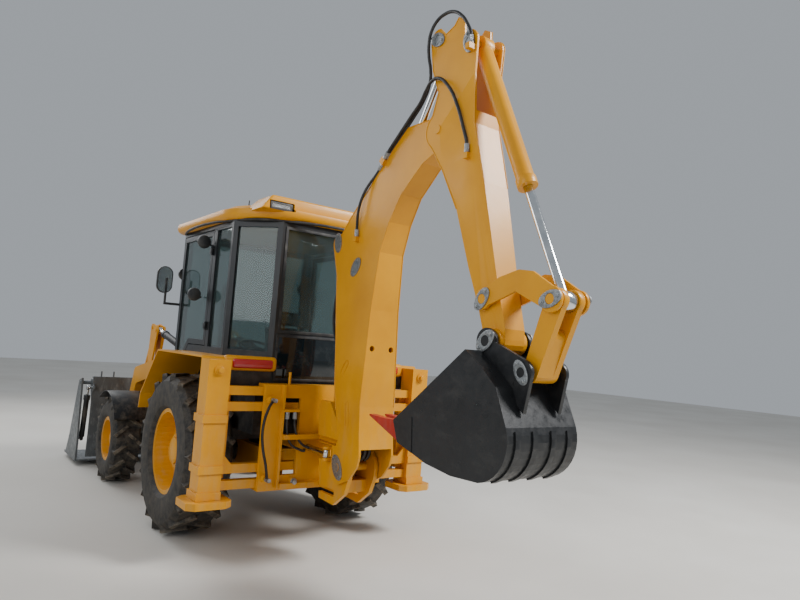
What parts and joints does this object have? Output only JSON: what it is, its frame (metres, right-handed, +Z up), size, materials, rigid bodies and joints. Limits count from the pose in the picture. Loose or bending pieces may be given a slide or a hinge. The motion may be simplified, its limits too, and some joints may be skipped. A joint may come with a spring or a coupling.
{
  "type": "backhoe loader",
  "caption": "Wheeled backhoe loader with a glazed cab, front loader arms and clamshell bucket, and a rear sideshift backhoe on a slewing kingpost with outrigger legs.",
  "frame": {"origin": "on the ground under the machine, half way between the foremost loader tooth and the rearmost bucket link", "axes": "+Y forwards, towards the loader; +X to the machine's right; +Z up"},
  "size_m": [2.36, 7.565, 4.0804],
  "materials": {
    "chassis_frame": "yellow paint",
    "rear_frame": "yellow paint",
    "rear_axle": "black paint",
    "front_axle": "black paint",
    "engine_block": "grey paint",
    "front_grille": "black paint",
    "side_tanks": "black paint",
    "wings": "yellow paint",
    "tail_lamps": "red lens",
    "cab_tub": "black paint",
    "cab_frame": "grey paint",
    "cab_glass": "tinted glass",
    "cab_roof": "yellow paint",
    "work_lamps": "bright steel",
    "seat": "black paint",
    "steering_column": "black paint",
    "mirrors": "black paint",
    "exhaust_stack": "black paint",
    "hood": "yellow paint",
    "left_door": "grey paint",
    "left_door_glass": "tinted glass",
    "right_door": "grey paint",
    "right_door_glass": "tinted glass",
    "left_knuckle": "black paint",
    "right_knuckle": "black paint",
    "tie_rod": "bright steel",
    "front_left_wheel": "black rubber with yellow rims",
    "front_right_wheel": "black rubber with yellow rims",
    "rear_left_wheel": "black rubber with yellow rims",
    "rear_right_wheel": "black rubber with yellow rims",
    "loader_arms": "yellow paint",
    "tip_levers": "yellow paint",
    "tip_links": "yellow paint",
    "tip_ram_barrels": "black paint",
    "tip_ram_rods": "bright steel",
    "lift_ram_barrels": "yellow paint",
    "lift_ram_rods": "bright steel",
    "shovel_back": "grey paint",
    "shovel_jaw": "grey paint",
    "jaw_ram_barrels": "black paint",
    "jaw_ram_rods": "bright steel",
    "carriage": "yellow paint",
    "carriage_hose": "black paint",
    "left_slew_rod": "bright steel",
    "right_slew_rod": "bright steel",
    "left_leg": "yellow paint",
    "right_leg": "yellow paint",
    "kingpost": "yellow paint",
    "boom": "yellow paint",
    "boom_hoses": "black paint",
    "boom_ram_barrel": "yellow paint",
    "boom_ram_rod": "bright steel",
    "dipper": "yellow paint",
    "dipper_ram_barrel": "yellow paint",
    "dipper_ram_rod": "bright steel",
    "digging_bucket": "black paint",
    "side_links": "yellow paint",
    "tipping_link": "yellow paint",
    "bucket_ram_barrel": "yellow paint",
    "bucket_ram_rod": "bright steel"
  },
  "bodies": {
    "chassis": {"chassis_frame": "chassis_frame", "rear_frame": "rear_frame", "rear_axle": "rear_axle", "front_axle": "front_axle", "engine_block": "engine_block", "side_tanks": "side_tanks", "wings": "wings", "tail_lamps": "tail_lamps", "cab_tub": "cab_tub", "cab_frame": "cab_frame", "cab_glass": "cab_glass", "cab_roof": "cab_roof", "work_lamps": "work_lamps", "seat": "seat", "steering_column": "steering_column", "mirrors": "mirrors", "exhaust_stack": "exhaust_stack"},
    "hood": {"hood": "hood", "front_grille": "front_grille"},
    "left_door": {"left_door": "left_door", "left_door_glass": "left_door_glass"},
    "right_door": {"right_door": "right_door", "right_door_glass": "right_door_glass"},
    "left_knuckle": {"left_knuckle": "left_knuckle"},
    "right_knuckle": {"right_knuckle": "right_knuckle"},
    "tie_rod": {"tie_rod": "tie_rod"},
    "front_left_wheel": {"front_left_wheel": "front_left_wheel"},
    "front_right_wheel": {"front_right_wheel": "front_right_wheel"},
    "rear_left_wheel": {"rear_left_wheel": "rear_left_wheel"},
    "rear_right_wheel": {"rear_right_wheel": "rear_right_wheel"},
    "loader_arms": {"loader_arms": "loader_arms"},
    "tip_levers": {"tip_levers": "tip_levers"},
    "tip_links": {"tip_links": "tip_links"},
    "tip_ram_barrels": {"tip_ram_barrels": "tip_ram_barrels"},
    "tip_ram_rods": {"tip_ram_rods": "tip_ram_rods"},
    "lift_ram_barrels": {"lift_ram_barrels": "lift_ram_barrels"},
    "lift_ram_rods": {"lift_ram_rods": "lift_ram_rods"},
    "shovel_back": {"shovel_back": "shovel_back"},
    "shovel_jaw": {"shovel_jaw": "shovel_jaw"},
    "jaw_ram_barrels": {"jaw_ram_barrels": "jaw_ram_barrels"},
    "jaw_ram_rods": {"jaw_ram_rods": "jaw_ram_rods"},
    "carriage": {"carriage": "carriage", "carriage_hose": "carriage_hose"},
    "left_slew_rod": {"left_slew_rod": "left_slew_rod"},
    "right_slew_rod": {"right_slew_rod": "right_slew_rod"},
    "left_leg": {"left_leg": "left_leg"},
    "right_leg": {"right_leg": "right_leg"},
    "kingpost": {"kingpost": "kingpost"},
    "boom": {"boom": "boom", "boom_hoses": "boom_hoses"},
    "boom_ram_barrel": {"boom_ram_barrel": "boom_ram_barrel"},
    "boom_ram_rod": {"boom_ram_rod": "boom_ram_rod"},
    "dipper": {"dipper": "dipper"},
    "dipper_ram_barrel": {"dipper_ram_barrel": "dipper_ram_barrel"},
    "dipper_ram_rod": {"dipper_ram_rod": "dipper_ram_rod"},
    "digging_bucket": {"digging_bucket": "digging_bucket"},
    "side_links": {"side_links": "side_links"},
    "tipping_link": {"tipping_link": "tipping_link"},
    "bucket_ram_barrel": {"bucket_ram_barrel": "bucket_ram_barrel"},
    "bucket_ram_rod": {"bucket_ram_rod": "bucket_ram_rod"}
  },
  "joints": [
    {"name": "rear_left_spin", "type": "hinge", "parent": "chassis", "child": "rear_left_wheel", "pos_m": [-0.86, -0.1675, 0.705], "axis": [1, 0, 0], "continuous": true},
    {"name": "rear_right_spin", "type": "hinge", "parent": "chassis", "child": "rear_right_wheel", "pos_m": [0.86, -0.1675, 0.705], "axis": [1, 0, 0], "continuous": true},
    {"name": "left_steer", "type": "hinge", "parent": "chassis", "child": "left_knuckle", "pos_m": [-0.7, 2.0125, 0.485], "axis": [0, 0, 1], "range_deg": [-35, 35]},
    {"name": "right_steer", "type": "hinge", "parent": "chassis", "child": "right_knuckle", "pos_m": [0.7, 2.0125, 0.485], "axis": [0, 0, 1], "range_deg": [-35.1, 35.1]},
    {"name": "tie_rod_slide", "type": "slide", "parent": "chassis", "child": "tie_rod", "axis": [1, 0, 0], "range_m": [-0.0891, 0.0891]},
    {"name": "front_left_spin", "type": "hinge", "parent": "left_knuckle", "child": "front_left_wheel", "pos_m": [-0.905, 2.0125, 0.485], "axis": [1, 0, 0], "continuous": true},
    {"name": "front_right_spin", "type": "hinge", "parent": "right_knuckle", "child": "front_right_wheel", "pos_m": [0.905, 2.0125, 0.485], "axis": [1, 0, 0], "continuous": true},
    {"name": "hood_lift", "type": "hinge", "parent": "chassis", "child": "hood", "pos_m": [0, 0.9625, 1.51], "axis": [1, 0, 0], "range_deg": [0, 55]},
    {"name": "left_door_swing", "type": "hinge", "parent": "chassis", "child": "left_door", "pos_m": [-0.791, -0.2015, 1.7], "axis": [0, 0, 1], "range_deg": [0, 85]},
    {"name": "right_door_swing", "type": "hinge", "parent": "chassis", "child": "right_door", "pos_m": [0.791, -0.2015, 1.7], "axis": [0, 0, -1], "range_deg": [0, 85]},
    {"name": "loader_lift", "type": "hinge", "parent": "chassis", "child": "loader_arms", "pos_m": [0, 0.8825, 1.5], "axis": [1, 0, 0], "range_deg": [-1.5, 76]},
    {"name": "lift_ram_swing", "type": "hinge", "parent": "chassis", "child": "lift_ram_barrels", "pos_m": [0, 0.8325, 0.72], "axis": [1, 0, 0], "range_deg": [-0.97, 46.85]},
    {"name": "lift_ram_stroke", "type": "slide", "parent": "lift_ram_barrels", "child": "lift_ram_rods", "axis": [0, 0.9024, 0.4309], "range_m": [-0.0141, 0.6649]},
    {"name": "shovel_tilt", "type": "hinge", "parent": "loader_arms", "child": "shovel_back", "pos_m": [0, 2.8525, 0.34], "axis": [-1, 0, 0], "range_deg": [-27, 90]},
    {"name": "tip_lever_swing", "type": "hinge", "parent": "loader_arms", "child": "tip_levers", "pos_m": [0, 2.4025, 1.236], "axis": [-1, 0, 0], "range_deg": [-18.11, 60.24]},
    {"name": "tip_link_swing", "type": "hinge", "parent": "shovel_back", "child": "tip_links", "pos_m": [0, 2.8775, 0.65], "axis": [-1, 0, 0], "range_deg": [-81.1, 24.36]},
    {"name": "tip_ram_swing", "type": "hinge", "parent": "loader_arms", "child": "tip_ram_barrels", "pos_m": [0, 1.1565, 1.57], "axis": [-1, 0, 0], "range_deg": [-1.68, 5.48]},
    {"name": "tip_ram_stroke", "type": "slide", "parent": "tip_ram_barrels", "child": "tip_ram_rods", "axis": [0, 0.9816, 0.1912], "range_m": [-0.171, 0.5677]},
    {"name": "jaw_open", "type": "hinge", "parent": "shovel_back", "child": "shovel_jaw", "pos_m": [0, 3.0925, 1.04], "axis": [1, 0, 0], "range_deg": [0, 80]},
    {"name": "jaw_ram_swing", "type": "hinge", "parent": "shovel_jaw", "child": "jaw_ram_barrels", "pos_m": [0, 3.0525, 0.33], "axis": [1, 0, 0], "range_deg": [-2.93, 0.05]},
    {"name": "jaw_ram_stroke", "type": "slide", "parent": "jaw_ram_barrels", "child": "jaw_ram_rods", "axis": [0, -0.1222, 0.9925], "range_m": [-0.001, 0.1715]},
    {"name": "side_shift", "type": "slide", "parent": "chassis", "child": "carriage", "axis": [1, 0, 0], "range_m": [-0.3, 0.3]},
    {"name": "slew", "type": "hinge", "parent": "carriage", "child": "kingpost", "pos_m": [0, -1.5175, 0.88], "axis": [0, 0, 1], "range_deg": [-90, 90]},
    {"name": "left_slew_stroke", "type": "slide", "parent": "carriage", "child": "left_slew_rod", "axis": [0, 1, 0], "range_m": [-0.241, 0.241]},
    {"name": "right_slew_stroke", "type": "slide", "parent": "carriage", "child": "right_slew_rod", "axis": [0, 1, 0], "range_m": [-0.241, 0.241]},
    {"name": "left_leg_drop", "type": "slide", "parent": "chassis", "child": "left_leg", "axis": [0, 0, -1], "range_m": [0, 0.6]},
    {"name": "right_leg_drop", "type": "slide", "parent": "chassis", "child": "right_leg", "axis": [0, 0, -1], "range_m": [0, 0.6]},
    {"name": "boom_lift", "type": "hinge", "parent": "kingpost", "child": "boom", "pos_m": [0, -1.6875, 0.8], "axis": [1, 0, 0], "range_deg": [-5, 115]},
    {"name": "boom_ram_swing", "type": "hinge", "parent": "kingpost", "child": "boom_ram_barrel", "pos_m": [0, -1.4075, 1.18], "axis": [1, 0, 0], "range_deg": [-5.2, 118.54]},
    {"name": "boom_ram_stroke", "type": "slide", "parent": "boom_ram_barrel", "child": "boom_ram_rod", "axis": [0, 0.0413, 0.9991], "range_m": [-0.0364, 0.816]},
    {"name": "dipper_swing", "type": "hinge", "parent": "boom", "child": "dipper", "pos_m": [0, -2.5975, 3.33], "axis": [-1, 0, 0], "range_deg": [0, 78]},
    {"name": "dipper_ram_swing", "type": "hinge", "parent": "boom", "child": "dipper_ram_barrel", "pos_m": [0, -1.6675, 2.4], "axis": [1, 0, 0], "range_deg": [-17.28, 0.05]},
    {"name": "dipper_ram_stroke", "type": "slide", "parent": "dipper_ram_barrel", "child": "dipper_ram_rod", "axis": [0, -0.484, 0.8751], "range_m": [-0.7303, 0.001]},
    {"name": "bucket_tilt", "type": "hinge", "parent": "dipper", "child": "digging_bucket", "pos_m": [0, -3.2575, 1.85], "axis": [-1, 0, 0], "range_deg": [-30, 110]},
    {"name": "side_link_swing", "type": "hinge", "parent": "dipper", "child": "side_links", "pos_m": [0, -3.1675, 2.11], "axis": [-1, 0, 0], "range_deg": [-21.49, 78.67]},
    {"name": "tipping_link_swing", "type": "hinge", "parent": "side_links", "child": "tipping_link", "pos_m": [0, -3.7075, 2.1], "axis": [-1, 0, 0], "range_deg": [-49.84, 13.63]},
    {"name": "bucket_ram_swing", "type": "hinge", "parent": "dipper", "child": "bucket_ram_barrel", "pos_m": [0, -2.8875, 3.87], "axis": [-1, 0, 0], "range_deg": [-1.99, 0.58]},
    {"name": "bucket_ram_stroke", "type": "slide", "parent": "bucket_ram_barrel", "child": "bucket_ram_rod", "axis": [0, -0.4204, -0.9074], "range_m": [-0.6946, 0.1902]}
  ],
  "couplings": [
    {"joint": "right_steer", "follows": "left_steer", "ratio": 1},
    {"joint": "tie_rod_slide", "follows": "left_steer", "m_per_rad": 0.145},
    {"joint": "lift_ram_swing", "follows": "loader_lift", "ratio": 0.61585},
    {"joint": "lift_ram_stroke", "follows": "loader_lift", "m_per_rad": 0.50053},
    {"joint": "tip_lever_swing", "follows": "shovel_tilt", "ratio": 0.66876},
    {"joint": "tip_link_swing", "follows": "shovel_tilt", "ratio": -0.90055},
    {"joint": "tip_ram_swing", "follows": "shovel_tilt", "ratio": 0.06032},
    {"joint": "tip_ram_stroke", "follows": "shovel_tilt", "m_per_rad": 0.36079},
    {"joint": "jaw_ram_swing", "follows": "jaw_open", "ratio": -0.03602},
    {"joint": "jaw_ram_stroke", "follows": "jaw_open", "m_per_rad": 0.12211},
    {"joint": "left_slew_stroke", "follows": "slew", "m_per_rad": -0.15279},
    {"joint": "right_slew_stroke", "follows": "slew", "m_per_rad": 0.15279},
    {"joint": "boom_ram_swing", "follows": "boom_lift", "ratio": 1.0304},
    {"joint": "boom_ram_stroke", "follows": "boom_lift", "m_per_rad": 0.40605},
    {"joint": "dipper_ram_swing", "follows": "dipper_swing", "ratio": -0.22091},
    {"joint": "dipper_ram_stroke", "follows": "dipper_swing", "m_per_rad": -0.53569},
    {"joint": "side_link_swing", "follows": "bucket_tilt", "ratio": 0.71472},
    {"joint": "tipping_link_swing", "follows": "bucket_tilt", "ratio": -0.45268},
    {"joint": "bucket_ram_swing", "follows": "bucket_tilt", "ratio": -0.01764},
    {"joint": "bucket_ram_stroke", "follows": "bucket_tilt", "m_per_rad": -0.36125}
  ]
}
